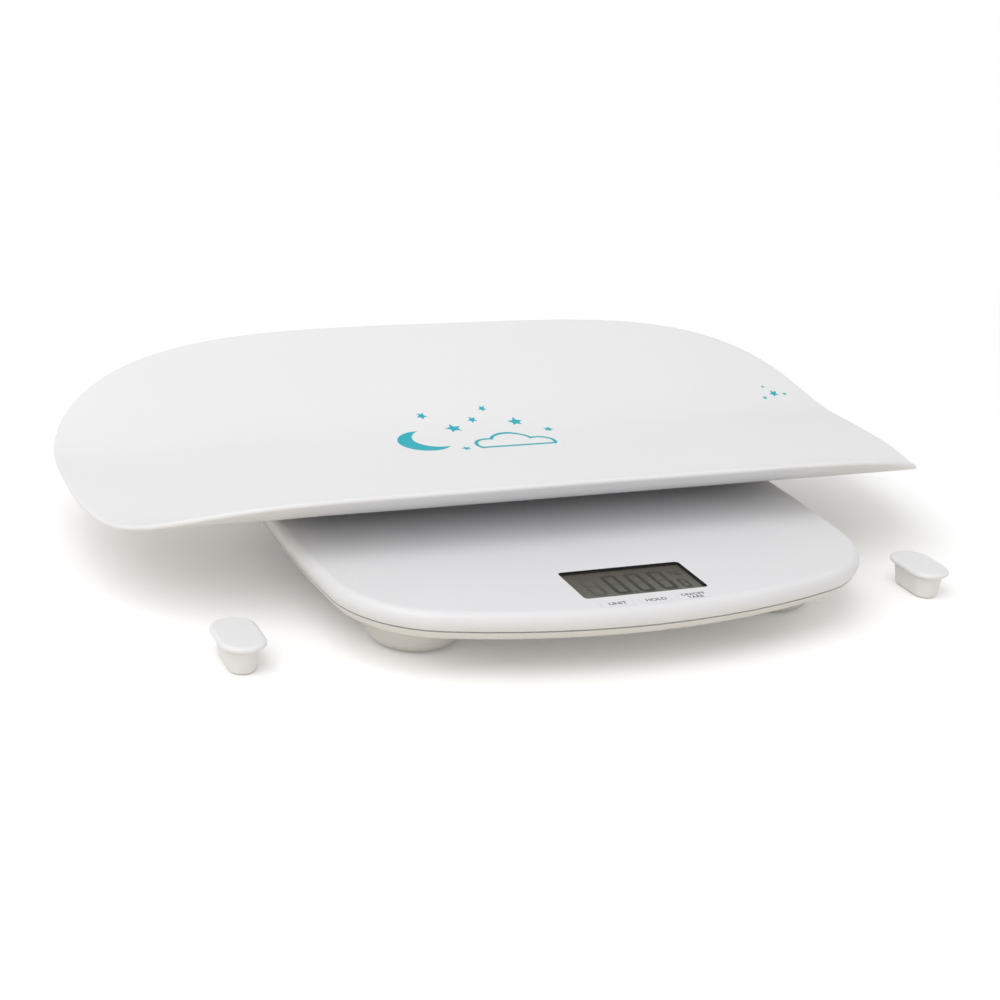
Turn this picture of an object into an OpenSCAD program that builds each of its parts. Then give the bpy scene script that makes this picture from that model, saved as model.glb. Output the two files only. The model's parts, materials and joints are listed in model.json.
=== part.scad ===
// Digital baby weighing scale: a round-cornered weighing platform on four load-cell feet,
// a lift-off cradle tray that stands in two oval wells on two pegs, and the two plugs that
// close those wells when the tray is off. +Z is up, +X runs along the tray, -Y is the
// display side. The origin is on the table, under the middle of the whole object.

/* [Platform] */
// Width of the platform on its widest line
platform_w = 320; // [310:1:330]
// Reach of the platform in front of its widest line
platform_front = 159.5; // [157:0.5:164]
// Reach of the platform behind its widest line
platform_back = 168.5; // [162:0.5:176]
// Height of the top surface above the table
platform_h = 38; // [36:0.5:42]
// How far the left and right sides bow out
side_bow = 12.6; // [9:0.2:16]
// How far the front side bows out
front_bow = 37.6; // [30:0.4:40]
// How far the rear side bows out
rear_bow = 15.4; // [11:0.4:24]
// Plan radius of the corners
corner_r = 64; // [54:1:72]
// Plan width of the rolled top edge
roll_w = 5; // [3:0.5:5]
// Height of the rolled top edge
roll_h = 6; // [4:0.5:6.5]
// Thickness of the top plate
plate_t = 2.4; // [2:0.1:3]

/* [Display and keys] */
// Width of the display window
window_w = 72; // [60:1:74]
// Depth of the display window
window_d = 36; // [28:0.5:36.5]
// Width of one key
key_w = 18; // [14:0.5:19]
// Distance between neighbouring keys
key_pitch = 22.2; // [21.4:0.2:23]
// Travel of a key
key_travel = 0.7; // [0.4:0.1:0.8]

/* [Tray] */
// Length of the tray
tray_len = 524; // [480:2:560]
// Reach of the tray in front of its widest line
tray_front = 122; // [110:0.5:128]
// Reach of the tray behind its widest line
tray_back = 131.5; // [120:0.5:138]
// Height of the front rim over the floor
front_rise = 28; // [18:1:34]
// Height of the rear rim over the floor
rear_rise = 50; // [34:1:58]
// Wall thickness of the tray
tray_t = 3; // [2.5:0.1:3.5]
// Gap between tray and platform, kept by the pads over the pegs
standoff = 6; // [4:0.5:10]
// How far the tray reaches out behind the platform
overhang = 20; // [10:1:30]

/* [Wells, pegs and plugs] */
// Length of a well
well_l = 36.4; // [34:0.2:40]
// Width of a well
well_w = 19.8; // [18:0.2:22]
// Depth of a well
well_depth = 15; // [14.5:0.1:15.2]
// Distance of each well from the middle
well_x = 112.4; // [105:0.2:114]
// Width of the flange round a plug
plug_flange = 2.4; // [1.5:0.1:3.5]

/* [Feet] */
// Distance of the feet from the middle, sideways
foot_x = 107; // [102:0.5:109]
// Distance of the front feet from the platform's widest line
foot_front = 83.5; // [80:0.5:86]
// Distance of the rear feet from the platform's widest line
foot_back = 90; // [88:0.5:96]
// Radius of a foot at its top
foot_r = 26.3; // [25.5:0.1:27]

/* [Battery door] */
// Length of the battery opening
door_w = 55; // [54:0.5:60]
// Width of the battery opening
door_d = 27; // [27:0.5:29]

/* [Hidden] */
$fn = 48;

fuse = 0.5;                               // overlap of forms that make one moulding
cut = 1;                                  // reach of a cut past the face that it opens
platform_y = (platform_front - platform_back - overhang) / 2;   // its widest line
half = platform_w / 2;

// Heights in the platform
plate_z = platform_h - plate_t;           // underside of the top plate
part_z = platform_h - 9.7;                // parting line of the two shells
tongue_z = part_z + 1.7;                  // top of the bottom shell's wall
under_z = platform_h - 17.2;              // underside of the bottom shell
floor_z = under_z + 2.4;                  // floor inside the bottom shell
board_z = platform_h - 11.6;              // underside of the circuit board
board_t = 1.6;
board_top = board_z + board_t;

// Plan arcs of the platform: bowed sides tangent to round corners
side_r = bow_radius(side_bow);
side_c = [half - side_r, 0];
side_steps = 4;
corner_steps = 8;
end_steps = 6;

// Display and keys
window_y = 37.3 - platform_front;
window_r = 2.5;
key_y = 10.5 - platform_front;
key_d = 7.6;
key_gap = 0.3;                            // hairline round a key
key_flange = 0.6;                         // rim that keeps a key under the plate
key_r = 2.2;
bezel_wall = 1.4;
bezel_rim = 2;                            // bezel's reach under the plate round the window
lens_t = 1.2;
lens_drop = 0.5;                          // lens surface below the top surface
lcd_drop = 3.6;                           // display surface below the top surface
lcd_t = 2.6;
board_w = 92;
board_front = window_y - 30;
board_shoulder = window_y - 24;           // where the board has its full width
board_rear = window_y + 24.2;
board_nose = 54;                          // width of the board's front edge, at the keys
post_x = 42.5;
board_posts = [for (x = [-post_x, post_x], y = [-20, 20]) [x, window_y + y]];
switch_w = 6;
switch_h = 3;
lead_y = window_y + 19.7;                 // row of solder pads for the leads
battery_pad = [24.5, lead_y + 3];         // pad of a battery lead

// Wells, pegs and plugs
well_y = 47.9;
well_wall = 1.8;
cup_gap = 0.4;                            // gap between a well's cup and the bottom shell
well_edge = 0.8;                          // bevel round the mouth of a well
peg_play = 0.5;                           // room round a peg or plug in its well
draft = 2;                                // narrowing of a peg or plug from top to bottom
peg_len = well_depth - 1;
pad_rim = 4;                              // reach of the pad round a peg
plug_len = 14.5;
plug_cap = 2.8;
plug_at = [205, -107];                    // where the plugs stand on the table

// Tray
tray_half = tray_len / 2;
flat_front = 47.5;                        // flat part of the floor, in front
flat_back = 41;                           // flat part of the floor, behind
rear_lean = atan(2 * rear_rise / (tray_back - flat_back));
rear_reach = tray_back + sin(rear_lean) * tray_t / 2;
tray_y = platform_back + platform_y + overhang - rear_reach;
tray_z = platform_h + standoff + tray_t;  // top of the tray's floor
quarter_steps = 22;
flat_share = min(flat_front / tray_front, flat_back / tray_back);
floor_steps = [for (k = [0, 0.2, 0.39, 0.56, 0.72, 0.87, 1]) flat_share + (1 - flat_share) * k];
lip_angles = [135, 90, 45];
peg_y = well_y + platform_y - tray_y;

// Feet and load cells
pad_r = 18;
pad_t = 2;
foot_gap = 0.5;                           // gap between a foot and the shell
foot_sink = 1.2;                          // depth of the pad's seat in the foot
foot_round = 7;                           // radius of the foot's lower edge
stud_r = 4;
cell_w = 34;
cell_t = 2.5;
cell_z = floor_z + 2;
gauge_y = 9.7;                            // strain gauge, off the middle of its cell
feet = [[-foot_x, -foot_front], [foot_x, -foot_front], [-foot_x, foot_back], [foot_x, foot_back]];

// Screws
boss_r = 3.6;
screw_r = 1.5;
head_r = 3;
boss_hole = 9;                            // depth of the screw holes
post_hole = 5;
bosses = [[-72, -128], [72, -128], [-138, -22], [138, -22], [-62, 134], [62, 134],
          [0, 70], [0, -82]];

// Ribs under the top plate
rib_t = 1.6;
rib_z = platform_h - 7.5;
ribs_x = [-120, -80, -40, 40, 80, 120];
ribs_y = [-70, 4, 92, 130];

// Battery compartment
bay_y = -30;
bay_wall = 1.6;
bay_top = plate_z - 1;
door_t = 2.2;
door_gap = 0.3;
hinge_gap = 0.8;                          // room for the door's rear edge to turn
cell_r = 5.2;
cell_l = 44;
cells_z = under_z + door_t + cell_r + 0.1;
cells_pitch = 11.2;
contact_t = 0.4;

// ---- functions -------------------------------------------------------------------------

// Where two circles meet, on the side of +X and +Y
function circles_meet(c1, r1, c2, r2) =
    let (d = norm(c2 - c1), u = (c2 - c1) / d,
         along = (r1 * r1 - r2 * r2 + d * d) / (2 * d),
         up = sqrt(r1 * r1 - along * along),
         p = c1 + along * u + up * [-u.y, u.x],
         q = c1 + along * u - up * [-u.y, u.x])
    p.x + p.y > q.x + q.y ? p : q;

function on_circle(c, r, a) = c + r * [cos(a), sin(a)];

// Radius of an arc that bows out by this much over the platform's width
function bow_radius(bow) = (half * half + bow * bow) / (2 * bow);

// Quarter of the platform's outline, moved inwards by d, from the middle of the right side
// to the middle of an end with this reach and bow
function quarter(reach, bow, d) =
    let (end_r = bow_radius(bow), end_c = [0, reach - end_r],
         corner_c = circles_meet(end_c, end_r - corner_r, side_c, side_r - corner_r),
         a = atan2(corner_c.y - side_c.y, corner_c.x - side_c.x),
         b = atan2(corner_c.y - end_c.y, corner_c.x - end_c.x))
    concat(
        [for (i = [0:side_steps - 1]) on_circle(side_c, side_r - d, a * i / side_steps)],
        [for (i = [0:corner_steps - 1])
            on_circle(corner_c, corner_r - d, a + (b - a) * i / corner_steps)],
        [for (i = [0:end_steps]) on_circle(end_c, end_r - d, b + (90 - b) * i / end_steps)]);

// The whole outline, counter-clockwise
function outline(d) =
    let (q = quarter(platform_back, rear_bow, d), p = quarter(platform_front, front_bow, d),
         last = len(q) - 1)
    concat(q, [for (i = [last - 1:-1:0]) [-q[i].x, q[i].y]],
           [for (i = [1:last]) -p[i]], [for (i = [last - 1:-1:1]) [p[i].x, -p[i].y]]);

function ring(d, z) = [for (p = outline(d)) [p.x, p.y, z]];

// Plan of the tray: half-depths of a flattened oval, front and rear
function tray_reach(x, b, p, q) = b * pow(1 - pow(abs(x / tray_half), p), 1 / q);
function step_x(i) = tray_half * (1 - pow(1 - i / quarter_steps, 3));
function rear_at(x) = tray_reach(x, tray_back, 3.8, 4.35);
function front_at(x) = -tray_reach(x, tray_front, 7.3, 2.1);

tray_plan = concat(
    [for (i = [quarter_steps:-1:1]) [step_x(i), rear_at(step_x(i))]],
    [for (i = [0:quarter_steps]) [-step_x(i), rear_at(step_x(i))]],
    [for (i = [quarter_steps - 1:-1:1]) [-step_x(i), front_at(step_x(i))]],
    [for (i = [0:quarter_steps - 1]) [step_x(i), front_at(step_x(i))]]);
plan_n = len(tray_plan);
plan_out = [for (i = [0:plan_n - 1])
    let (t = tray_plan[(i + 1) % plan_n] - tray_plan[(i + plan_n - 1) % plan_n])
    [t.y, -t.x] / norm(t)];
tray_edge = [for (i = [0:plan_n - 1]) tray_plan[i] - plan_out[i] * tray_t / 2];

// Height and slope of the tray's floor: flat in the middle, parabolic walls
function past(y) = y < -flat_front ? (-y - flat_front) / (tray_front - flat_front)
                 : y > flat_back ? (y - flat_back) / (tray_back - flat_back) : 0;
function floor_at(y) = (y < 0 ? front_rise : rear_rise) * past(y) * past(y);
function slope_at(y) = y < 0 ? -2 * front_rise * past(y) / (tray_front - flat_front)
                             : 2 * rear_rise * past(y) / (tray_back - flat_back);

// Point of the tray's skin over plan point p: 0 is the upper face, 180 the underside,
// and the angles between them go round the lip, whose plan direction is out
function skin(p, angle, out) =
    let (m = slope_at(p.y), up = [0, -m, 1] / norm([0, -m, 1]),
         lip = [out.x, out.y, m * out.y], side = lip / norm(lip))
    [p.x, p.y, floor_at(p.y)] - up * tray_t / 2
    + (up * cos(angle) + side * sin(angle)) * tray_t / 2;

tray_rings = concat(
    [for (s = floor_steps) [for (i = [0:plan_n - 1]) skin(s * tray_edge[i], 180, plan_out[i])]],
    [for (a = lip_angles) [for (i = [0:plan_n - 1]) skin(tray_edge[i], a, plan_out[i])]],
    [for (k = [len(floor_steps) - 1:-1:0])
        [for (i = [0:plan_n - 1]) skin(floor_steps[k] * tray_edge[i], 0, plan_out[i])]]);

// ---- shapes used more than once --------------------------------------------------------

// Closed solid through a stack of rings, flat at both ends
module ring_solid(rings) {
    n = len(rings[0]);
    last = len(rings) - 1;
    polyhedron(
        points = [for (r = rings) each r],
        faces = concat(
            [[for (i = [0:n - 1]) i]],
            [for (j = [0:last - 1], i = [0:n - 1])
                [j * n + i, (j + 1) * n + i, (j + 1) * n + (i + 1) % n, j * n + (i + 1) % n]],
            [[for (i = [n - 1:-1:0]) last * n + i]]),
        convexity = 6);
}

// Upright oval block, long along Y, that widens by grow on every side over its height
module oval(l, w, h, grow = 0) {
    r = w / 2;
    span = l - w;
    for (s = [-1, 1])
        translate([0, s * span / 2, 0]) cylinder(r1 = r, r2 = r + grow, h = h);
    translate([0, span / 2, 0]) rotate([90, 0, 0])
        linear_extrude(span) polygon([[-r, 0], [r, 0], [r + grow, h], [-r - grow, h]]);
}

// Body of a peg or plug, its top at z = 0
module oval_body(len) {
    foot_bevel = 1.6;
    l = well_l - 2 * peg_play;
    w = well_w - 2 * peg_play;
    translate([0, 0, foot_bevel - len])
        oval(l - 2 * draft, w - 2 * draft, len - foot_bevel, draft);
    translate([0, 0, -len])
        oval(l - 2 * draft - 2 * foot_bevel, w - 2 * draft - 2 * foot_bevel,
             foot_bevel, foot_bevel);
}

// Upright block with round corners
module round_block(w, d, h, r) {
    for (x = [-1, 1], y = [-1, 1])
        translate([x * (w / 2 - r), y * (d / 2 - r), 0]) cylinder(r = r, h = h);
    translate([-w / 2 + r, -d / 2, 0]) cube([w - 2 * r, d, h]);
    translate([-w / 2, -d / 2 + r, 0]) cube([w, d - 2 * r, h]);
}

module block(size, at) {
    translate([at.x - size.x / 2, at.y - size.y / 2, at.z]) cube(size);
}

module on_platform(x = 0, y = 0, z = 0) {
    translate([x, y + platform_y, z]) children();
}

module at_wells(z) {
    for (s = [-1, 1]) translate([s * well_x, well_y, z]) children();
}

module at_points(points, z) {
    for (p = points) translate([p.x, p.y, z]) children();
}

// ---- platform --------------------------------------------------------------------------

module top_shell() color("whitesmoke") on_platform() {
    roll_steps = 5;
    wall = 3.1;                           // inside of the rim, under its fillet
    fillet = 1.1;
    rings = concat(
        [ring(wall + fillet, plate_z), ring(wall + 0.3, plate_z - 1), ring(wall, plate_z - 3),
         ring(wall, part_z), ring(1.2, part_z), ring(0.4, part_z + 1.8)],
        [for (k = [0:roll_steps]) let (a = 90 * k / roll_steps)
            ring(roll_w * (1 - cos(a)), platform_h - roll_h * (1 - sin(a)))]);
    difference() {
        union() {
            ring_solid(rings);
            plate_ribs();
            at_wells(platform_h - well_depth - well_wall)
                oval(well_l + 2 * well_wall, well_w + 2 * well_wall,
                     well_depth + well_wall - plate_t + fuse);
            at_points(bosses, floor_z) cylinder(r = boss_r, h = plate_z - floor_z + fuse);
            at_points(board_posts, board_top)
                cylinder(r = 2.5, h = plate_z - board_top + fuse);
        }
        at_wells(platform_h - well_depth) oval(well_l, well_w, well_depth + cut);
        at_wells(platform_h - well_edge) oval(well_l, well_w, well_edge + 0.01, well_edge);
        translate([0, window_y, plate_z - cut])
            round_block(window_w, window_d, plate_t + 2 * cut, window_r);
        for (k = [-1:1]) translate([k * key_pitch, key_y, plate_z - cut])
            round_block(key_w + 2 * key_gap, key_d + 2 * key_gap, plate_t + 2 * cut,
                        key_r + key_gap);
        at_points(bosses, floor_z - cut) cylinder(r = screw_r, h = boss_hole + cut);
        at_points(board_posts, board_top - cut) cylinder(r = 0.9, h = post_hole + cut);
    }
}

// Lattice under the plate, open over the display
module plate_ribs() {
    rib_h = plate_z - rib_z + fuse;
    intersection() {
        translate([0, 0, rib_z]) linear_extrude(rib_h) polygon(outline(2.9));
        union() {
            for (x = ribs_x) {
                front = abs(x) > board_w / 2 ? -platform_front : board_rear + 2;
                translate([x - rib_t / 2, front, rib_z])
                    cube([rib_t, platform_back - front, rib_h]);
            }
            for (y = ribs_y)
                translate([-half, y - rib_t / 2, rib_z]) cube([2 * half, rib_t, rib_h]);
        }
    }
}

module bottom_shell() color("gainsboro") on_platform() {
    rings = [ring(14, under_z), ring(8.4, under_z + 0.3), ring(5.6, under_z + 1.5),
             ring(3.4, under_z + 3.6), ring(2, part_z - 1.8), ring(1.6, part_z - 0.4),
             ring(3.4, part_z - 0.4), ring(3.5, tongue_z), ring(5.2, tongue_z),
             ring(5.6, floor_z + 2), ring(7.6, floor_z + 0.4), ring(11, floor_z)];
    rear = bay_y + door_d / 2;
    difference() {
        union() {
            ring_solid(rings);
            // seats under the load cells' frames
            for (f = feet) translate([f.x, f.y, floor_z - fuse]) difference() {
                translate([-cell_w / 2 - 1, -cell_w / 2 - 1, 0])
                    cube([cell_w + 2, cell_w + 2, cell_z - floor_z + fuse]);
                translate([-cell_w / 2 + 4, -cell_w / 2 + 4, -cut])
                    cube([cell_w - 8, cell_w - 8, cell_z + 2 * cut]);
            }
            // walls of the battery bay
            translate([0, bay_y, floor_z - fuse]) difference() {
                block([door_w + 2 * bay_wall, door_d + 2 * bay_wall, bay_top - floor_z + fuse],
                      [0, 0, 0]);
                block([door_w, door_d, bay_top], [0, 0, -cut]);
            }
        }
        at_points(feet, under_z - cut) cylinder(r = stud_r + 2, h = floor_z - under_z + 2 * cut);
        at_wells(under_z - cut) oval(well_l + 2 * (well_wall + cup_gap),
                                     well_w + 2 * (well_wall + cup_gap), 2 * cut + 3);
        translate([0, bay_y, under_z - cut]) block([door_w, door_d, floor_z], [0, 0, 0]);
        // slots in the rear wall of the bay for the door's tongues
        for (s = [-1, 1])
            block([9, 2 * bay_wall + 2, 2.4], [s * 16, rear + 1, floor_z]);
        // finger notch in front of the door
        translate([0, bay_y - door_d / 2 + 2, under_z - cut])
            cylinder(r = 7, h = cut + 1.2);
        at_points(bosses, under_z - cut) cylinder(r = screw_r, h = floor_z - under_z + 2 * cut);
        at_points(bosses, under_z - cut) cylinder(r = head_r + 0.3, h = cut + 1);
    }
}

module shell_screws() color("silver") on_platform() at_points(bosses, under_z + 1) {
    screw_len = 9;
    difference() {
        translate([0, 0, -0.9]) cylinder(r = head_r, h = 0.9);
        for (a = [0, 90]) rotate(a) translate([-1.6, -0.3, -1.1]) cube([3.2, 0.6, 0.8]);
    }
    cylinder(r = screw_r - 0.02, h = screw_len);
}

// ---- display and keys ------------------------------------------------------------------

module display_lens() color("lightgray", 0.4)
    on_platform(0, window_y, platform_h - lens_drop - lens_t)
        round_block(window_w - 0.4, window_d - 0.4, lens_t, window_r - 0.2);

module lcd_bezel() color("black") on_platform(0, window_y) {
    top = platform_h - lens_drop - lens_t;
    difference() {
        union() {
            translate([0, 0, board_top])
                round_block(window_w + 2 * bezel_rim, window_d + 2 * bezel_rim,
                            plate_z - 0.1 - board_top, window_r);
            translate([0, 0, board_top])
                round_block(window_w - 0.4, window_d - 0.4, top - board_top, window_r - 0.2);
        }
        translate([0, 0, board_top - cut])
            block([window_w - 2 * bezel_wall, window_d - 2 * bezel_wall, 20], [0, 0, 0]);
    }
}

module lcd_panel() color("dimgray")
    on_platform(0, window_y, platform_h - lcd_drop - lcd_t)
        block([window_w - 2 * bezel_wall - 0.2, window_d - 2 * bezel_wall - 0.2, lcd_t],
              [0, 0, 0]);

module zebra_connectors() color("dimgray") on_platform(0, window_y) {
    strip_h = platform_h - lcd_drop - lcd_t - board_top;
    for (s = [-1, 1]) block([60, 2.4, strip_h], [0, s * 12.5, board_top]);
}

module circuit_board() color("seagreen") on_platform() difference() {
    side = board_w / 2;
    nose = board_nose / 2;
    union() {
        translate([0, 0, board_z]) linear_extrude(board_t) polygon([
            [-side, board_rear], [-side, board_shoulder], [-nose, board_front],
            [nose, board_front], [side, board_shoulder], [side, board_rear]]);
        // the chip's cap, and a row of solder pads for the leads
        translate([0, window_y, board_z - 1.1]) cylinder(r = 7, h = 1.2);
        for (i = [-5:5]) if (abs(i) > 2) block([1.6, 2.4, 0.4], [i * 4, lead_y, board_z - 0.3]);
        for (s = [-1, 1]) block([1.8, 1.8, 0.4], [s * battery_pad.x, battery_pad.y, board_z - 0.3]);
    }
    at_points(board_posts, board_z - cut) cylinder(r = 1.1, h = board_t + 2 * cut);
}

module tact_switches() color("dimgray") on_platform() for (k = [-1:1]) {
    stem_top = board_top + switch_h + 1.2;
    block([switch_w, switch_w, switch_h], [k * key_pitch, key_y, board_top]);
    translate([k * key_pitch, key_y, board_top + switch_h - fuse])
        cylinder(r = 1.7, h = stem_top - board_top - switch_h + fuse);
}

module board_screws() color("silver") on_platform() at_points(board_posts, board_z - 1.2) {
    cylinder(r = 2, h = 1.2);
    cylinder(r = 0.88, h = 6);
}

// A key: cap in its opening, rim under the plate, stem over its switch
module key(k) color("whitesmoke") on_platform(k * key_pitch, key_y) {
    rim_top = plate_z - 0.1;
    rim_t = 1;
    stem_end = board_top + switch_h + 1.2 + key_travel + 0.1;
    translate([0, 0, rim_top - rim_t])
        round_block(key_w, key_d, platform_h - rim_top + rim_t, key_r);
    translate([0, 0, rim_top - rim_t])
        round_block(key_w + 2 * (key_flange + key_gap), key_d + 2 * (key_flange + key_gap),
                    rim_t, key_r);
    translate([0, 0, stem_end]) cylinder(r = 2.2, h = rim_top - stem_end);
}

module key_unit() key(-1);
module key_hold() key(0);
module key_on_off() key(1);

// ---- feet and load cells ---------------------------------------------------------------

// Sheet-steel load cell: outer frame on the shell, middle tongue over the foot's stud
module load_cell(f) color("silver") on_platform(f.x, f.y, cell_z) difference() {
    block([cell_w, cell_w, cell_t], [0, 0, 0]);
    for (s = [-1, 1]) {
        block([2.4, 22, cell_t + 2 * cut], [s * 10.5, 0, -cut]);
        block([2, 14, cell_t + 2 * cut], [s * 5.6, -1, -cut]);
    }
    block([23.4, 2.4, cell_t + 2 * cut], [0, -11, -cut]);
    block([13.2, 2, cell_t + 2 * cut], [0, 6.8, -cut]);
    for (x = [-1, 1], y = [-1, 1])
        translate([x * 14, y * 14, -cut]) cylinder(r = 1.2, h = cell_t + 2 * cut);
}

module load_cell_front_left() load_cell(feet[0]);
module load_cell_front_right() load_cell(feet[1]);
module load_cell_rear_left() load_cell(feet[2]);
module load_cell_rear_right() load_cell(feet[3]);

module strain_gauges() color("darkorange") on_platform()
    for (f = feet) block([8, 4, 0.3], [f.x, f.y + gauge_y, cell_z + cell_t]);

// Rounded foot cup with the stud that presses on its load cell
module foot(f) color("gainsboro") on_platform(f.x, f.y) difference() {
    top = under_z - foot_gap;
    base = pad_t - foot_sink;
    wall = 2.2;
    bottom = 3;
    union() {
        rotate_extrude() polygon(concat([[0, base]],
            [for (a = [0:22.5:90])
                [foot_r - foot_round * (1 - sin(a)), base + foot_round * (1 - cos(a))]],
            [[foot_r, top], [foot_r - wall, top], [foot_r - wall, base + foot_round],
             [foot_r - foot_round, base + bottom], [0, base + bottom]]));
        translate([0, 0, base + bottom - fuse])
            cylinder(r = stud_r, h = cell_z - base - bottom + fuse);
        for (a = [45:90:315]) rotate(a)
            translate([stud_r - fuse, -0.8, base + bottom - fuse])
                cube([foot_r - wall - stud_r + 1.5 * fuse, 1.6, 6]);
    }
    translate([0, 0, -cut]) cylinder(r = pad_r, h = pad_t + cut);
}

module foot_front_left() foot(feet[0]);
module foot_front_right() foot(feet[1]);
module foot_rear_left() foot(feet[2]);
module foot_rear_right() foot(feet[3]);

// Rubber pad in the foot's seat
module foot_pad(f) color("lightgray") on_platform(f.x, f.y) difference() {
    rotate_extrude() polygon([[0, 0], [pad_r - 1.2, 0], [pad_r - 0.2, 0.8], [pad_r - 0.2, pad_t],
        [0, pad_t]]);
    for (r = [7, 13]) rotate_extrude() translate([r, 0]) circle(r = 0.6);
}

module foot_pad_front_left() foot_pad(feet[0]);
module foot_pad_front_right() foot_pad(feet[1]);
module foot_pad_rear_left() foot_pad(feet[2]);
module foot_pad_rear_right() foot_pad(feet[3]);

// Flat leads: off each load cell, down to the floor, along it and up to the board
module load_cell_leads() color("darkslategray") on_platform() {
    lead_w = 4;
    lead_t = 1.2;
    track_x = 64;
    edge_x = foot_x - cell_w / 2 - 1.4;
    gauge_x = foot_x - 4;
    top_z = cell_z + cell_t;
    for (s = [-1, 1]) {
        for (y = [foot_back, -foot_front]) {
            block([gauge_x - edge_x + lead_t, lead_w, lead_t],
                  [s * (gauge_x + edge_x - lead_t) / 2, y + gauge_y, top_z]);
            block([lead_t, lead_w, top_z - floor_z + lead_t],
                  [s * (edge_x - lead_t / 2), y + gauge_y, floor_z]);
            block([edge_x - track_x + lead_w / 2, lead_w, lead_t],
                  [s * (edge_x + track_x - lead_w / 2) / 2, y + gauge_y, floor_z]);
        }
        block([lead_w, foot_back + gauge_y - lead_y + lead_w, lead_t],
              [s * track_x, (foot_back + gauge_y + lead_y) / 2, floor_z]);
        block([track_x - 12, lead_w, lead_t], [s * (track_x + 12) / 2, lead_y, floor_z]);
        block([8, lead_w, board_z - floor_z - 0.3], [s * 16, lead_y, floor_z]);
    }
}

// ---- battery bay -----------------------------------------------------------------------

// Door: plate flush with the underside, two tongues over the rear edge, latch in front
module battery_door() color("gainsboro") on_platform(0, bay_y) {
    rear = door_d / 2;
    plate_d = door_d - hinge_gap - door_gap;
    block([door_w - 2 * door_gap, plate_d, door_t],
          [0, (door_gap - hinge_gap) / 2, under_z]);
    for (s = [-1, 1]) {
        block([7, 2.4, floor_z + 1.9 - under_z - door_t + fuse],
              [s * 16, rear - hinge_gap - 1.2, under_z + door_t - fuse]);
        block([7, hinge_gap + 3.6, 1.6], [s * 16, rear - 0.2 - 0.2, floor_z + 0.3]);
    }
    // latch arm, set back from the front wall
    block([10, 1.2, 4.5], [0, -rear + door_gap + 1.5, under_z + door_t - fuse]);
    // grip ribs
    for (i = [-1:1]) block([8, 0.8, 0.4], [0, -rear + 4 + 1.8 * i, under_z - 0.35]);
}

module battery_cells() color("goldenrod") on_platform(0, bay_y, cells_z)
    for (s = [-1, 1]) translate([-s * 0.9, s * cells_pitch / 2, 0]) rotate([0, s * 90, 0]) {
        translate([0, 0, -cell_l / 2]) cylinder(r = cell_r, h = cell_l);
        translate([0, 0, cell_l / 2 - fuse]) cylinder(r = 1.9, h = 0.8 + fuse);
    }

// Plates at both ends of the bay, with a coil for each cell's flat end
module battery_contacts() color("silver") on_platform(0, bay_y, cells_z) for (s = [-1, 1]) {
    block([contact_t, 2 * cells_pitch, 8], [s * (door_w / 2 - contact_t / 2), 0, -4]);
    for (i = [0:2])
        translate([-s * (door_w / 2 - contact_t - 0.3 - i * 1.2), s * cells_pitch / 2, 0])
            rotate([0, 90, 0]) rotate_extrude() translate([3.6 - 0.5 * i, 0]) circle(r = 0.35);
}

module battery_leads() color("firebrick") on_platform() for (s = [-1, 1]) {
    wire = 1.4;
    front = bay_y - door_d / 2 - bay_wall;
    x = s * battery_pad.x;
    rear_of_pad = battery_pad.y - wire / 2;
    block([wire, front - rear_of_pad, wire], [x, (front + rear_of_pad) / 2, floor_z]);
    block([wire, wire, board_z - floor_z - 0.3], [x, battery_pad.y, floor_z]);
}

// ---- tray and plugs --------------------------------------------------------------------

// One moulding: a thin trough cut to an oval, with a round lip and two pegs on pads
module tray() color("whitesmoke") translate([0, tray_y, tray_z]) union() {
    ring_solid(tray_rings);
    for (s = [-1, 1]) translate([s * well_x, peg_y, -tray_t - standoff]) {
        oval(well_l + pad_rim, well_w + pad_rim, standoff + 1, 0.6);
        oval_body(peg_len);
    }
}

// A plug: low cap with a rounded edge over the body that fills a well
module plug(side) color("whitesmoke") translate([side * plug_at.x, plug_at.y, plug_len]) {
    l = well_l + 2 * plug_flange;
    w = well_w + 2 * plug_flange;
    oval(l - 1, w - 1, 0.5, 0.5);
    translate([0, 0, 0.5]) oval(l, w, 1);
    translate([0, 0, 1.5]) oval(l, w, 0.7, -0.5);
    translate([0, 0, 2.2]) oval(l - 1, w - 1, plug_cap - 2.2, -1.4);
    oval_body(plug_len);
}

module plug_left() plug(-1);
module plug_right() plug(1);

top_shell();
bottom_shell();
display_lens();
lcd_bezel();
lcd_panel();
zebra_connectors();
circuit_board();
tact_switches();
board_screws();
key_unit();
key_hold();
key_on_off();
shell_screws();
load_cell_front_left();
load_cell_front_right();
load_cell_rear_left();
load_cell_rear_right();
strain_gauges();
foot_front_left();
foot_front_right();
foot_rear_left();
foot_rear_right();
foot_pad_front_left();
foot_pad_front_right();
foot_pad_rear_left();
foot_pad_rear_right();
load_cell_leads();
battery_door();
battery_cells();
battery_contacts();
battery_leads();
tray();
plug_left();
plug_right();
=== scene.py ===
import json
import math

import bpy
from mathutils import Matrix, Vector


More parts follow.
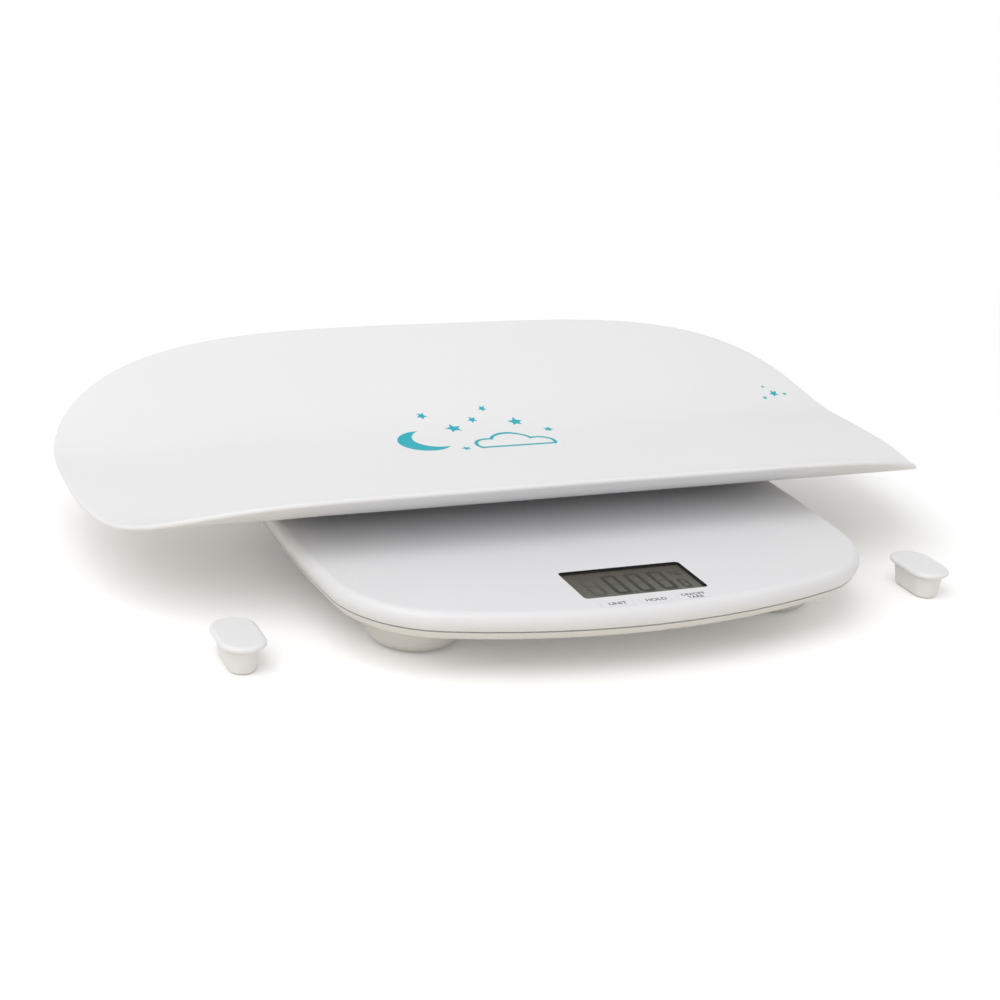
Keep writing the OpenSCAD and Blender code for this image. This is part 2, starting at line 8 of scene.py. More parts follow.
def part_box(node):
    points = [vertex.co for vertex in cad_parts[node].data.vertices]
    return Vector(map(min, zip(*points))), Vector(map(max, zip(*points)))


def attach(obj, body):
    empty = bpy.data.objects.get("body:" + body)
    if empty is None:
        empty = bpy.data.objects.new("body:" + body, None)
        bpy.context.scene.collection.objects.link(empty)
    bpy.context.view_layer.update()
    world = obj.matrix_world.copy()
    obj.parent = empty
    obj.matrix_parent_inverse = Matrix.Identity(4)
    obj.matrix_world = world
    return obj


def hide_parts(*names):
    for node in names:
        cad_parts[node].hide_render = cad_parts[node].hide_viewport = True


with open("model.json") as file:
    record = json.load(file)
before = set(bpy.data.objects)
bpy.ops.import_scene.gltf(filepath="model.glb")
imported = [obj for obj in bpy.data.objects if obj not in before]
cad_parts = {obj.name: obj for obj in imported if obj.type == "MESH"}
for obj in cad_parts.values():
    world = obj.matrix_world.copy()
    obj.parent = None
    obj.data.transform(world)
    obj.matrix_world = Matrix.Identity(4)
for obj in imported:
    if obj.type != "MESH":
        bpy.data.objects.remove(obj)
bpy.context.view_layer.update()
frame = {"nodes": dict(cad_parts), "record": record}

mm = 0.001      # every length below is in mm, apart from the camera's and the studio's


def deselectAll():
    if bpy.context.mode != "OBJECT":
        bpy.ops.object.mode_set(mode="OBJECT")
    bpy.ops.object.select_all(action="DESELECT")


def pick(piece):
    deselectAll()
    piece.select_set(True)
    bpy.context.view_layer.objects.active = piece


def edit(piece):
    # opens the piece with nothing in it selected
    pick(piece)
    bpy.ops.object.mode_set(mode="EDIT")
    bpy.ops.mesh.select_all(action="DESELECT")


def endEdit():
    bpy.ops.object.mode_set(mode="OBJECT")


def selectFaces(piece, test):
    # selects the faces whose centre and normal pass the test
    bpy.ops.mesh.select_mode(type="FACE")
    bpy.ops.object.mode_set(mode="OBJECT")
    for face in piece.data.polygons:
        face.select = test(face.center, face.normal)
    bpy.ops.object.mode_set(mode="EDIT")


def selectPoints(piece, test):
    # the same for points, by place or index
    bpy.ops.mesh.select_mode(type="VERT")
    bpy.ops.mesh.select_all(action="DESELECT")
    bpy.ops.object.mode_set(mode="OBJECT")
    for point in piece.data.vertices:
        point.select = test(point.co, point.index)
    bpy.ops.object.mode_set(mode="EDIT")


def applyPlace(piece):
    # puts a piece's place, turn and size into its mesh
    pick(piece)
    bpy.ops.object.transform_apply(location=True, rotation=True, scale=True)


def addModifier(piece, kind, **settings):
    # adds a modifier, sets it and applies it
    pick(piece)
    modifier = piece.modifiers.new(kind.title(), kind)
    for name, value in settings.items():
        setattr(modifier, name, value)
    bpy.ops.object.modifier_apply(modifier=modifier.name)


def smoothShade(piece, degrees):
    pick(piece)
    bpy.ops.object.shade_smooth_by_angle(angle=math.radians(degrees))


def joinPieces(pieces, name):
    deselectAll()
    for piece in pieces:
        piece.select_set(True)
    bpy.context.view_layer.objects.active = pieces[0]
    if len(pieces) > 1:
        bpy.ops.object.join()
    joined = bpy.context.view_layer.objects.active
    joined.name = name
    return joined


def finishPiece(piece, name, material, body):
    # names a piece, dresses it and hands it to the body that it moves with
    piece.name = name
    piece.data.name = name
    piece.data.materials.clear()
    piece.data.materials.append(material)
    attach(piece, body)


def linear(hexColour):
    # sRGB hex to linear
    values = [int(hexColour[i:i + 2], 16) / 255 for i in (1, 3, 5)]
    return [v / 12.92 if v <= 0.04045 else ((v + 0.055) / 1.055) ** 2.4 for v in values] + [1]


def addNode(tree, kind, settings=None, **inputs):
    # one shader node: settings are its own, inputs are values or sockets to link
    node = tree.nodes.new(kind)
    for name, value in (settings or {}).items():
        setattr(node, name, value)
    for name, value in inputs.items():
        socket = node.inputs[int(name[1:])] if name[1:].isdigit() else node.inputs[name.replace("_", " ")]
        if isinstance(value, bpy.types.NodeSocket):
            tree.links.new(value, socket)
        else:
            socket.default_value = value
    return node


def newMaterial(name):
    # material with an empty tree and its output
    material = bpy.data.materials.new(name)
    material.use_nodes = True
    tree = material.node_tree
    tree.nodes.clear()
    return material, tree, addNode(tree, "ShaderNodeOutputMaterial")


def finishTree(tree, output, shader):
    tree.links.new(shader.outputs[0], output.inputs["Surface"])


def ramp(tree, factor, stops):
    # colour ramp over [(place, colour), ...]: a colour is hex, a grey number or linear values
    node = addNode(tree, "ShaderNodeValToRGB", Fac=factor)
    elements = node.color_ramp.elements
    while len(elements) < len(stops):
        elements.new(0.5)
    for element, (place, colour) in zip(elements, stops):
        element.position = place
        if isinstance(colour, str):
            colour = linear(colour)
        element.color = colour if isinstance(colour, list) else [colour] * 3 + [1]
    return node.outputs["Color"]


def moulded(name, pale, deep, grainMm, grainDepthMm, roughLow, roughHigh, ior, cloudMm=45):
    # injection-moulded plastic: a faint cloud of tone, an even fine grain from the tool,
    # and gloss that drifts a little
    material, tree, output = newMaterial(name)
    place = addNode(tree, "ShaderNodeTexCoord").outputs["Object"]
    cloud = addNode(tree, "ShaderNodeTexNoise", Vector=place, Scale=1 / (cloudMm * mm), Detail=3.0)
    grain = addNode(tree, "ShaderNodeTexNoise", Vector=place, Scale=1 / (grainMm * mm), Detail=2.0)
    drift = addNode(tree, "ShaderNodeTexNoise", Vector=place, Scale=1 / (12 * mm), Detail=2.0)
    bump = addNode(tree, "ShaderNodeBump", Strength=0.5, Distance=grainDepthMm * mm,
                   Height=grain.outputs["Fac"])
    shader = addNode(tree, "ShaderNodeBsdfPrincipled", IOR=ior,
                     Base_Color=ramp(tree, cloud.outputs["Fac"], [(0.35, deep), (0.65, pale)]),
                     Roughness=ramp(tree, drift.outputs["Fac"], [(0.3, roughLow), (0.7, roughHigh)]),
                     Normal=bump.outputs["Normal"])
    finishTree(tree, output, shader)
    return material


def metal(name, pale, deep, stretch, roughness):
    # cold-rolled or drawn steel: fine lines along one direction
    material, tree, output = newMaterial(name)
    place = addNode(tree, "ShaderNodeTexCoord").outputs["Object"]
    drawn = addNode(tree, "ShaderNodeMapping", Vector=place, Scale=stretch)
    lines = addNode(tree, "ShaderNodeTexNoise", Vector=drawn.outputs["Vector"],
                    Scale=1 / (0.4 * mm), Detail=3.0)
    bump = addNode(tree, "ShaderNodeBump", Strength=0.3, Distance=0.02 * mm, Height=lines.outputs["Fac"])
    shader = addNode(tree, "ShaderNodeBsdfPrincipled", Metallic=1.0, Roughness=roughness,
                     Base_Color=ramp(tree, lines.outputs["Fac"], [(0.3, deep), (0.7, pale)]),
                     Normal=bump.outputs["Normal"])
    finishTree(tree, output, shader)
    return material


def printedInk(name, hexColour, roughness):
    # pad-printed ink: matt, a little thinner in places, where the white below shows
    cover = 0.95
    material, tree, output = newMaterial(name)
    place = addNode(tree, "ShaderNodeTexCoord").outputs["Object"]
    film = addNode(tree, "ShaderNodeTexNoise", Vector=place, Scale=1 / (0.9 * mm), Detail=2.0)
    full = linear(hexColour)
    thin = [1 - (1 - v) * cover for v in full[:3]] + [1]
    shader = addNode(tree, "ShaderNodeBsdfPrincipled", Roughness=roughness, IOR=1.5,
                     Base_Color=ramp(tree, film.outputs["Fac"], [(0.25, thin), (0.5, full)]))
    finishTree(tree, output, shader)
    return material


def lcdSurface(name):
    # reflective LCD behind its polariser, finely speckled; its own grey-green turns brown-grey towards
    # the back, a painted reflection
    material, tree, output = newMaterial(name)
    low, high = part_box("lcd_panel")
    place = addNode(tree, "ShaderNodeTexCoord").outputs["Object"]
    split = addNode(tree, "ShaderNodeSeparateXYZ", Vector=place)
    across = addNode(tree, "ShaderNodeMapRange", Value=split.outputs["Y"])
    across.inputs["From Min"].default_value = low.y
    across.inputs["From Max"].default_value = high.y
    speck = addNode(tree, "ShaderNodeTexNoise", Vector=place, Scale=1 / (0.35 * mm), Detail=1.0)
    # painted reflection: brown-grey at the back of the panel, greener in front, over the panel's own
    # grey-green
    lcdToneAndReflection = ramp(tree, across.outputs["Result"], [(0.0, "#7F8275"), (0.5, "#6F6D60"), (1.0, "#615A50")])
    mixed = addNode(tree, "ShaderNodeMix", {"data_type": "RGBA", "blend_type": "OVERLAY"}, _0=0.12,
                    _6=lcdToneAndReflection, _7=ramp(tree, speck.outputs["Fac"], [(0.3, 0.35), (0.7, 0.65)]))
    shader = addNode(tree, "ShaderNodeBsdfPrincipled", Base_Color=mixed.outputs[2],
                     Roughness=0.65, IOR=1.5)
    finishTree(tree, output, shader)
    return material


def clearAcrylic(name):
    # thin clear window: all but unseen, with a faint gloss
    material, tree, output = newMaterial(name)
    place = addNode(tree, "ShaderNodeTexCoord").outputs["Object"]
    haze = addNode(tree, "ShaderNodeTexNoise", Vector=place, Scale=1 / (6 * mm), Detail=2.0)
    shader = addNode(tree, "ShaderNodeBsdfPrincipled", Base_Color=linear("#3C3E3C"), IOR=1.49, Alpha=0.12,
                     Roughness=ramp(tree, haze.outputs["Fac"], [(0.3, 0.04), (0.7, 0.1)]))
    finishTree(tree, output, shader)
    return material


materials = {
    # ABS with a satin tool finish: clean white, soft highlights on the rolled edge
    "white_abs": moulded("satinWhiteAbs", "#E8E8EA", "#E6E6E8", 0.5, 0.012, 0.36, 0.4, 1.54, 120),
    # the same ABS from a spark-eroded tool: matt, a touch warmer
    "shell_abs": moulded("mattWhiteAbs", "#E8E7E4", "#E5E4E1", 0.7, 0.03, 0.48, 0.54, 1.54),
    # polypropylene: a little waxy, smoother than the ABS
    "tray_pp": moulded("waxyWhitePolypropylene", "#EEEEEF", "#ECECED", 0.9, 0.012, 0.36, 0.4, 1.49, 140),
    # black ABS of the display's frame
    "black_abs": moulded("mattBlackAbs", "#101011", "#0B0B0C", 0.5, 0.03, 0.42, 0.5, 1.54),
    # grey silicone strips
    "grey_rubber": moulded("greySilicone", "#4A4A4A", "#3E3E3E", 0.8, 0.03, 0.6, 0.7, 1.41),
    # epoxy board under a green mask
    "board": moulded("greenSolderMask", "#1F6B3A", "#175730", 0.6, 0.02, 0.28, 0.4, 1.5),
    # amber polyimide film
    "gauge_film": moulded("amberPolyimide", "#C98A35", "#B5762A", 0.6, 0.01, 0.3, 0.4, 1.7),
    # soft pale rubber under the feet
    "pad_rubber": moulded("paleRubber", "#CFCFCC", "#C2C2BF", 0.6, 0.06, 0.62, 0.75, 1.52),
    # PVC sheath of the leads
    "lead_sheath": moulded("greyPvc", "#3A3B3E", "#2F3033", 0.8, 0.02, 0.4, 0.5, 1.53),
    # lacquered can of a cell
    "cell_can": moulded("lacqueredCan", "#B09A5A", "#A18C4E", 0.8, 0.01, 0.22, 0.3, 1.5),
    # nickel-plated steel screws and contacts
    "screw_steel": metal("nickelPlatedSteel", "#CFCFCB", "#B8B8B4", (1, 1, 0.2), 0.28),
    # cold-rolled steel of the load cells
    "cell_steel": metal("coldRolledSteel", "#B9BBBD", "#9EA0A2", (0.1, 1, 1), 0.34),
    "lcd_glass": lcdSurface("reflectiveLcd"),
    "clear_lens": clearAcrylic("clearAcrylic"),
}
keyInk = printedInk("darkGreyKeyInk", "#3A3A42", 0.5)
trayInk = printedInk("tealTrayInk", "#00AFBD", 0.6)
liveSegment = printedInk("liquidCrystalOn", "#2B2C27", 0.5)
shadeSegment = printedInk("liquidCrystalShade", "#57584E", 0.5)
restSegment = printedInk("liquidCrystalOff", "#57534A", 0.5)
print("materials made")


cameraPlace = {
    "lensMm": 66.96,
    "distance": 1.113,
    "azimuth": -23.9,      # degrees to the left of the front
    "elevation": 19.8,
    "roll": 4.0,
    "target": (-0.011, 0.018, 0.028),
    "sensorMm": 36,
}


def placeCamera(place):
    turn, rise, roll = (math.radians(place[k]) for k in ("azimuth", "elevation", "roll"))
    back = Vector((math.sin(turn) * math.cos(rise), -math.cos(turn) * math.cos(rise), math.sin(rise)))
    right = Vector((math.cos(turn), math.sin(turn), 0))
    up = back.cross(right)
    eye = Vector(place["target"]) + back * place["distance"]
    axes = Matrix((right, up, back)).transposed().to_4x4()
    camera = bpy.data.objects.new("camera", bpy.data.cameras.new("camera"))
    camera.data.lens = place["lensMm"]
    camera.data.sensor_width = place["sensorMm"]
    camera.data.clip_start = 0.05
    camera.matrix_world = Matrix.Translation(eye) @ axes @ Matrix.Rotation(roll, 4, "Z")
    bpy.context.scene.collection.objects.link(camera)
    bpy.context.scene.camera = camera


placeCamera(cameraPlace)
print("camera placed")


studio = {
    "floorSize": 12.0,
    "shadowReach": (0.42, 0.95),   # how far from the middle the floor's shading fades out, in metres
    "floorLift": 0.13,             # keeps the open floor white in the picture
    "fill": 0.68,                  # the even light of the room
    "keySize": 1.9,                # one large soft lamp, in front to the left
    "keyPower": 21.5,
    "keyAt": (-0.95, -0.75, 1.85),
}


def makeFloor():
    # white in the picture apart from the shadow, and a plain pale floor for the light it sends back
    deselectAll()
    bpy.ops.mesh.primitive_plane_add(size=studio["floorSize"], location=(0, 0, 0))
    floor = bpy.context.active_object
    floor.name = "floor"
    material, tree, output = newMaterial("paleFloor")
    rays = addNode(tree, "ShaderNodeLightPath")
    seen = addNode(tree, "ShaderNodeMath", {"operation": "MAXIMUM"},
                   _0=rays.outputs["Is Camera Ray"], _1=rays.outputs["Is Glossy Ray"])
    place = addNode(tree, "ShaderNodeTexCoord").outputs["Object"]
    away = addNode(tree, "ShaderNodeVectorMath", {"operation": "LENGTH"}, _0=place)
    fade = addNode(tree, "ShaderNodeMapRange", {"interpolation_type": "SMOOTHSTEP"},
                   Value=away.outputs["Value"])
    fade.inputs["From Min"].default_value = studio["shadowReach"][0]
    fade.inputs["From Max"].default_value = studio["shadowReach"][1]
    shaded = addNode(tree, "ShaderNodeBsdfDiffuse", Color=(1, 1, 1, 1))
    lift = addNode(tree, "ShaderNodeEmission", Color=(1, 1, 1, 1), Strength=studio["floorLift"])
    near = addNode(tree, "ShaderNodeAddShader", _0=shaded.outputs[0], _1=lift.outputs[0])
    white = addNode(tree, "ShaderNodeEmission", Color=(1, 1, 1, 1), Strength=1.0)
    pictured = addNode(tree, "ShaderNodeMixShader", _0=fade.outputs["Result"],
                       _1=near.outputs[0], _2=white.outputs[0])
    plain = addNode(tree, "ShaderNodeBsdfDiffuse", Color=linear("#EDE7DC"))
    finishTree(tree, output, addNode(tree, "ShaderNodeMixShader", _0=seen.outputs[0],
                                     _1=plain.outputs[0], _2=pictured.outputs[0]))
    floor.data.materials.append(material)


def lightRoom():
    world = bpy.data.worlds.new("room")
    bpy.context.scene.world = world
    world.use_nodes = True
    tree = world.node_tree
    tree.nodes.clear()
    output = addNode(tree, "ShaderNodeOutputWorld")
    rays = addNode(tree, "ShaderNodeLightPath")
    strength = addNode(tree, "ShaderNodeMapRange", Value=rays.outputs["Is Camera Ray"])
    strength.inputs["To Min"].default_value = studio["fill"]
    strength.inputs["To Max"].default_value = 1.0
    shade = addNode(tree, "ShaderNodeBackground", Color=(1, 1, 1, 1), Strength=strength.outputs["Result"])
    finishTree(tree, output, shade)

    lamp = bpy.data.lights.new("windowLight", "AREA")
    lamp.shape = "SQUARE"
    lamp.size = studio["keySize"]
    lamp.energy = studio["keyPower"]
    holder = bpy.data.objects.new("windowLight", lamp)
    holder.location = studio["keyAt"]
    holder.rotation_euler = (-Vector(studio["keyAt"])).to_track_quat("-Z", "Y").to_euler()
    bpy.context.scene.collection.objects.link(holder)


makeFloor()
lightRoom()
bpy.context.scene.view_settings.view_transform = "Standard"
print("floor and light made")


def dressNodes():
    slots = {s["node"]: s["material_slot"] for s in frame["record"]["subparts"]}
    for name, node in frame["nodes"].items():
        node.data.materials.clear()
        node.data.materials.append(materials[slots[name]])


# for each node: softened edge, the angle above which an edge stays an edge, and its moves: the
# axis, where the points lie on it, how near they lie, and the shift
smoothCopies = {
    "top_shell": {"edge": 0.15, "angle": 40, "slot": "white_abs", "body": "platform"},
    "bottom_shell": {"edge": 0.3, "angle": 40, "slot": "shell_abs", "body": "platform",
                     "moves": (("z", 27.9, 0.1, (0, 0, -0.6)),)},        # opens the parting line
    "tray": {"edge": 0.0, "angle": 50, "slot": "tray_pp", "body": "tray_body"},
    # the display's frame gets a thinner wall, and its panel lies just under the cover
    "lcd_bezel": {"edge": 0.0, "angle": 40, "slot": "black_abs", "body": "platform",
                  "moves": (("x", 34.6, 0.3, (1.0, 0, 0)), ("x", -34.6, 0.3, (-1.0, 0, 0)),
                            ("y", -120.1, 0.3, (0, 1.0, 0)), ("y", -153.3, 0.3, (0, -1.0, 0)))},
    "lcd_panel": {"edge": 0.0, "angle": 40, "slot": "lcd_glass", "body": "platform",
                  "moves": (("x", 34.5, 0.3, (0.9, 0, 0)), ("x", -34.5, 0.3, (-0.9, 0, 0)),
                            ("y", -120.2, 0.3, (0, 0.9, 0)), ("y", -153.2, 0.3, (0, -0.9, 0)),
                            ("z", 34.4, 0.3, (0, 0, 1.8)))},
}
# keys with a finer gap than the solids keep
for key in ("key_unit", "key_hold", "key_on_off"):
    smoothCopies[key] = {"edge": 0.0, "angle": 40, "slot": "white_abs", "body": key + "_body",
                         "widen": (1.024, 1.055)}


def smoothCopy(name, choice):
    # a node's own skin, welded, with its flats made whole and its edges softened
    deselectAll()
    copy = frame["nodes"][name].copy()
    copy.data = copy.data.copy()
    copy.parent = None
    for key in [k for k in copy.keys() if k.startswith("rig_")]:
        del copy[key]
    bpy.context.scene.collection.objects.link(copy)
    edit(copy)
    bpy.ops.mesh.select_all(action="SELECT")
    bpy.ops.mesh.remove_doubles(threshold=0.002 * mm)
    for axis, at, reach, shift in choice.get("moves", ()):
        which = "xyz".index(axis)
        selectPoints(copy, lambda place, index: abs(place[which] - at * mm) < reach * mm)
        bpy.ops.transform.translate(value=[v * mm for v in shift])
    if "widen" in choice:
        low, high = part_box(name)
        selectPoints(copy, lambda place, index: place.z > high.z - 0.1 * mm)
        bpy.ops.transform.resize(value=(*choice["widen"], 1), center_override=(low + high) / 2)
    bpy.ops.mesh.select_all(action="SELECT")
    bpy.ops.mesh.dissolve_limited(angle_limit=math.radians(0.4))
    endEdit()
    if choice["edge"]:
        addModifier(copy, "BEVEL", width=choice["edge"] * mm, segments=2, limit_method="ANGLE",
                    angle_limit=math.radians(choice["angle"]), use_clamp_overlap=True)
    smoothShade(copy, choice["angle"])
    addModifier(copy, "WEIGHTED_NORMAL", keep_sharp=True, weight=80)
    finishPiece(copy, name + "_moulding", materials[choice["slot"]], choice["body"])
    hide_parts(name)


dressNodes()
for nodeName, nodeChoice in smoothCopies.items():
    smoothCopy(nodeName, nodeChoice)
print("nodes dressed")


def copyPiece(piece, move=(0, 0, 0), turn=0.0):
    # a copy with its own mesh, turned about Z and moved, with its place in its mesh
    deselectAll()
    copy = piece.copy()
    copy.data = piece.data.copy()
    bpy.context.scene.collection.objects.link(copy)
    copy.rotation_euler = (0, 0, turn)
    copy.location = move
    applyPlace(copy)
    return copy


def flatMesh(name, corners):
    # a disc with this many corners, radius 1 mm, to be shaped
    deselectAll()
    bpy.ops.mesh.primitive_circle_add(vertices=corners, radius=mm, fill_type="NGON")
    piece = bpy.context.active_object
    piece.name = name
    return piece


# dark wall of the window's opening, in mm
liner = {"wall": 0.14, "spare": 0.1, "corner": 2.4, "top": 0.08, "bottom": 1.72}


def makeLiner():
    # between the plate and the clear cover
    low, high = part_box("display_lens")
    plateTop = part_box("top_shell")[1].z
    deselectAll()
    bpy.ops.mesh.primitive_plane_add(size=1, location=((low.x + high.x) / 2, (low.y + high.y) / 2,
                                                       plateTop - liner["top"] * mm))
    ring = bpy.context.active_object
    spare = 2 * liner["spare"] * mm
    ring.scale = (high.x - low.x + spare, high.y - low.y + spare, 1)
    applyPlace(ring)
    edit(ring)
    selectPoints(ring, lambda place, index: True)
    bpy.ops.mesh.bevel(offset=liner["corner"] * mm, segments=6, affect="VERTICES")
    selectFaces(ring, lambda centre, normal: True)
    bpy.ops.mesh.delete(type="ONLY_FACE")
    bpy.ops.mesh.select_mode(type="EDGE")
    bpy.ops.mesh.select_all(action="SELECT")
    bpy.ops.mesh.extrude_region_move(
        TRANSFORM_OT_translate={"value": (0, 0, -(liner["bottom"] - liner["top"]) * mm)})
    bpy.ops.mesh.select_all(action="SELECT")
    bpy.ops.mesh.normals_make_consistent(inside=False)
    endEdit()
    addModifier(ring, "SOLIDIFY", thickness=liner["wall"] * mm, offset=0, use_even_offset=True)
    smoothShade(ring, 35)
    finishPiece(ring, "window_liner", materials["black_abs"], "platform")


# digits of the display, in mm from the middle of the panel
digits = {
    "height": 24.2, "width": 9.0, "stroke": 2.1, "gap": 0.05,
    "middles": (-23.4, -9.9, 3.8, 17.2), "lit": ("", "abcdef", "abcdef", "abcdef"),
    "small": {"middle": (27.6, -6.3), "height": 11.0, "width": 5.0, "stroke": 1.1, "lit": "abcdef"},
    "point": (-3.1, -11.4),
    "unit": {"words": "kg", "capHeight": 5.2, "middle": (28.3, 8.6)},
    "shadow": (0.5, -1.1),          # where their shadow falls on the reflector behind the glass
    "proud": 0.02,
    "lifts": (0.0, 0.01, 0.03),     # heights of those at rest, the shadows and those that are on
}


def makeSegment(length, stroke):
    # one bar with pointed ends, along X, flat
    bar = flatMesh("segment", 6)
    bar.rotation_euler = (0, 0, math.radians(30))
    applyPlace(bar)
    edit(bar)
    selectPoints(bar, lambda place, index: place.x > 0)
    bpy.ops.transform.translate(value=((length / 2 - 1) * mm, 0, 0))
    selectPoints(bar, lambda place, index: place.x < 0)
    bpy.ops.transform.translate(value=(-(length / 2 - 1) * mm, 0, 0))
    endEdit()
    bar.scale = (1, stroke / bar.dimensions.y * mm, 1)
    applyPlace(bar)
    return bar


def makeDigit(middle, height, width, stroke, lit):
    # seven bars, named a to g as on any such display, split into those on and those at rest
    across = width - stroke - digits["gap"]
    down = height / 2 - stroke / 2 - digits["gap"]
    x, y = middle
    side, tall = (width - stroke) / 2, (height - stroke) / 2
    places = {
        "a": (x, y + tall, 0), "d": (x, y - tall, 0), "g": (x, y, 0),
        "b": (x + side, y + tall / 2, 1), "c": (x + side, y - tall / 2, 1),
        "f": (x - side, y + tall / 2, 1), "e": (x - side, y - tall / 2, 1),
    }
    bars = (makeSegment(across, stroke), makeSegment(down, stroke))
    on, rest = [], []
    for key, (px, py, upright) in places.items():
        copy = copyPiece(bars[upright], (px * mm, py * mm, 0), math.pi / 2 * upright)
        (on if key in lit else rest).append(copy)
    for bar in bars:
        bpy.data.objects.remove(bar)
    return on, rest


def wordsMesh(words, capHeight, name, weight=0.0):
    # flat letters centred on the origin, as a mesh
    deselectAll()
    bpy.ops.object.text_add(location=(0, 0, 0))
    letters = bpy.context.active_object
    letters.data.body = words
    letters.data.align_x = "CENTER"
    letters.data.size = 10 * mm
    letters.data.offset = weight * mm
    letters.data.resolution_u = 4
    bpy.ops.object.convert(target="MESH")
    letters = bpy.context.active_object
    letters.name = name
    tall = max(p.co.y for p in letters.data.vertices)
    letters.scale = [capHeight * mm / tall] * 3
    applyPlace(letters)
    return letters


def thickenPrint(piece, proudMm):
    # a printed film: a closed sheet whose underside is buried
    edit(piece)
    bpy.ops.mesh.select_all(action="SELECT")
    bpy.ops.mesh.remove_doubles(threshold=0.0005 * mm)
    bpy.ops.mesh.normals_make_consistent(inside=False)
    endEdit()
    addModifier(piece, "SOLIDIFY", thickness=proudMm * 2 * mm, offset=0)


def makeDisplay():
    low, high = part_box("lcd_panel")
    top = max(p.co.z for p in bpy.data.objects["lcd_panel_moulding"].data.vertices)
    middle = Vector(((low.x + high.x) / 2, (low.y + high.y) / 2, top))
    on, rest = [], []
    for x, lit in zip(digits["middles"], digits["lit"]):
        a, b = makeDigit((x, 0), digits["height"], digits["width"], digits["stroke"], lit)
        on += a
        rest += b
    small = digits["small"]
    a, b = makeDigit(small["middle"], small["height"], small["width"], small["stroke"], small["lit"])
    on += a
    rest += b
    point = flatMesh("point", 12)
    point.location = (digits["point"][0] * mm, digits["point"][1] * mm, 0)
    applyPlace(point)
    words, capHeight, (x, y) = digits["unit"].values()
    unit = wordsMesh(words, capHeight, "unit")
    unit.location = (x * mm, (y - capHeight / 2) * mm, 0)
    applyPlace(unit)
    on += [point, unit]
    shade = [copyPiece(bar, (digits["shadow"][0] * mm, digits["shadow"][1] * mm, 0)) for bar in on]
    layers = ((rest, "display_rest", restSegment), (shade, "display_shade", shadeSegment),
              (on, "display_digits", liveSegment))
    for (bars, name, material), lift in zip(layers, digits["lifts"]):
        shown = joinPieces(bars, name)
        shown.location = middle + Vector((0, 0, lift * mm))
        applyPlace(shown)
        thickenPrint(shown, digits["proud"])
        finishPiece(shown, name, material, "platform")


makeLiner()
makeDisplay()
print("display dressed")


# printed words on the keys: words, height of the capitals, and their foot from the key's middle
keyInkFilm = {"weight": 0.16, "proud": 0.015}
keyWords = {
    "key_unit": {"words": (("UNIT", 3.1, -1.65),), "aside": 0.3},
    "key_hold": {"words": (("HOLD", 3.1, -1.65),), "aside": 0.1},
    "key_on_off": {"words": (("ON/OFF", 2.7, 0.5), ("TARE", 2.7, -3.1)), "aside": 0.3},
}


def printKey(name, choice):
    low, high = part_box(name)
    lines = []
    for words, capHeight, base in choice["words"]:
        line = wordsMesh(words, capHeight, words, keyInkFilm["weight"])
        line.location = ((low.x + high.x) / 2 + choice["aside"] * mm,
                         (low.y + high.y) / 2 + base * mm, high.z)
        applyPlace(line)
        lines.append(line)
    label = joinPieces(lines, name + "_words")
    thickenPrint(label, keyInkFilm["proud"])
    finishPiece(label, name + "_words", keyInk, name + "_body")


for keyName, keyChoice in keyWords.items():
    printKey(keyName, keyChoice)
print("keys printed")


# night sky printed on the tray: places from the middle of its widest line, stars with their turn
trayPrint = {
    "proud": 0.03,
    "clear": 0.05,
    "moon": {"at": (-38, 36), "radius": 17, "bite": (9, 4), "biteRadius": 15.2},
    "cloud": {"puffs": ((2, 24, 11), (18, 29, 14.5), (35, 23, 10)), "base": 17.5, "line": 2.3},
    "stars": ((-12, 54, 6.0, 10), (-28, 70, 3.8, 40), (4, 63, 3.4, 25), (32, 58, 5.2, 0),
              (-17, 19, 3.4, 15), (49, 44, 3.6, 50), (15, 74, 3.0, 30)),
    "small": ((231, 72, 3.6, 20), (222, 68, 1.9, 0), (239, 71, 1.7, 30), (226, 79, 1.4, 45)),
}


def makeStar(x, y, radius, turnDegrees):
    # every second corner of a disc is drawn in
    star = flatMesh("star", 10)
    edit(star)
    selectPoints(star, lambda place, index: index % 2 == 1)
    bpy.ops.transform.resize(value=(0.46, 0.46, 1), center_override=(0, 0, 0))
    endEdit()
    star.scale = (radius, radius, 1)
    star.rotation_euler = (0, 0, math.radians(turnDegrees))
    star.location = (x * mm, y * mm, 0)
    applyPlace(star)
    return star


def makePrism(x, y, radius, corners, depth=4):
    # round block from a disc, for cutting and joining
    block = flatMesh("block", corners)
    block.scale = (radius, radius, 1)
    block.location = (x * mm, y * mm, -depth / 2 * mm)
    applyPlace(block)
    edit(block)
    bpy.ops.mesh.select_all(action="SELECT")
    bpy.ops.mesh.extrude_region_move(TRANSFORM_OT_translate={"value": (0, 0, depth * mm)})
    bpy.ops.mesh.select_all(action="SELECT")
    bpy.ops.mesh.normals_make_consistent(inside=False)
    endEdit()
    return block


def combine(piece, other, how):
    addModifier(piece, "BOOLEAN", operation=how, object=other, solver="EXACT")
    bpy.data.objects.remove(other)


def topFace(piece):
    # keeps the flat upper side of a block
    edit(piece)
    selectFaces(piece, lambda centre, normal: normal.z < 0.9)
    bpy.ops.mesh.delete(type="FACE")
    bpy.ops.mesh.select_all(action="SELECT")
    bpy.ops.mesh.dissolve_limited(angle_limit=math.radians(1))
    endEdit()


def makeMoon():
    moon = trayPrint["moon"]
    x, y = moon["at"]
    piece = makePrism(x, y, moon["radius"], 56)
    bite = makePrism(x + moon["bite"][0], y + moon["bite"][1], moon["biteRadius"], 56, 8)
    combine(piece, bite, "DIFFERENCE")
    topFace(piece)
    return piece


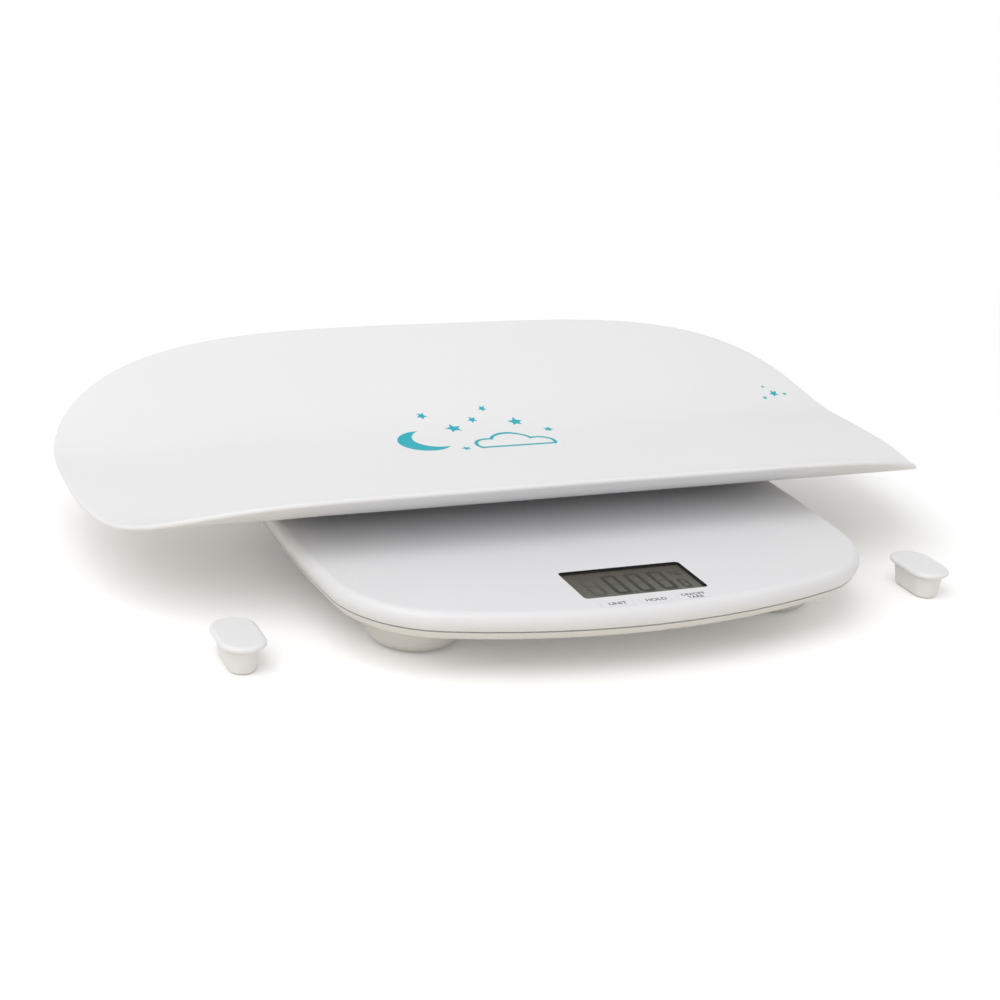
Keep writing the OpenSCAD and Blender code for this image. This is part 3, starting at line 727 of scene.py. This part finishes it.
def makeCloud():
    # three puffs on a flat base, drawn as an outline
    cloud = trayPrint["cloud"]
    first, *others = cloud["puffs"]
    piece = makePrism(*first, 44)
    for puff in others:
        combine(piece, makePrism(*puff, 44), "UNION")
    left, right = cloud["puffs"][0], cloud["puffs"][-1]
    deselectAll()
    bpy.ops.mesh.primitive_cube_add(size=1)
    below = bpy.context.active_object
    wide, deep, high = 90, 20, 8
    below.scale = (wide * mm, deep * mm, high * mm)
    below.location = ((left[0] + right[0]) / 2 * mm, (cloud["base"] - deep / 2) * mm, 0)
    applyPlace(below)
    combine(piece, below, "DIFFERENCE")
    topFace(piece)
    edit(piece)
    bpy.ops.mesh.select_all(action="SELECT")
    bpy.ops.mesh.inset(thickness=cloud["line"] * mm, use_even_offset=True)
    bpy.ops.mesh.delete(type="FACE")
    endEdit()
    return piece


def trayMiddle():
    # the tray's widest line: its ends reach furthest there
    tray = frame["nodes"]["tray"]
    reach = max(p.co.x for p in tray.data.vertices)
    ends = [p.co.y for p in tray.data.vertices if p.co.x > reach - 0.02 * mm]
    return sum(ends) / len(ends)


def printTray():
    # the flat design is dropped onto the tray and follows its floor and walls
    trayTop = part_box("tray")[1].z
    skin = bpy.data.objects["tray_moulding"]
    middle = Vector((0, trayMiddle(), 0))
    pieces = [makeMoon(), makeCloud()]
    pieces += [makeStar(*star) for star in trayPrint["stars"] + trayPrint["small"]]
    design = joinPieces(pieces, "tray_print")
    design.location = middle + Vector((0, 0, trayTop + 20 * mm))
    applyPlace(design)
    edit(design)
    bpy.ops.mesh.select_all(action="SELECT")
    bpy.ops.mesh.quads_convert_to_tris()
    bpy.ops.mesh.normals_make_consistent(inside=False)
    bpy.ops.mesh.subdivide(number_cuts=2)
    endEdit()
    addModifier(design, "SHRINKWRAP", target=skin, wrap_method="PROJECT", use_project_z=True,
                use_negative_direction=True, use_positive_direction=False,
                offset=trayPrint["clear"] * mm)
    addModifier(design, "SOLIDIFY", thickness=trayPrint["proud"] * mm, offset=1)
    finishPiece(design, "tray_print", trayInk, "tray_body")


printTray()
print("tray printed")
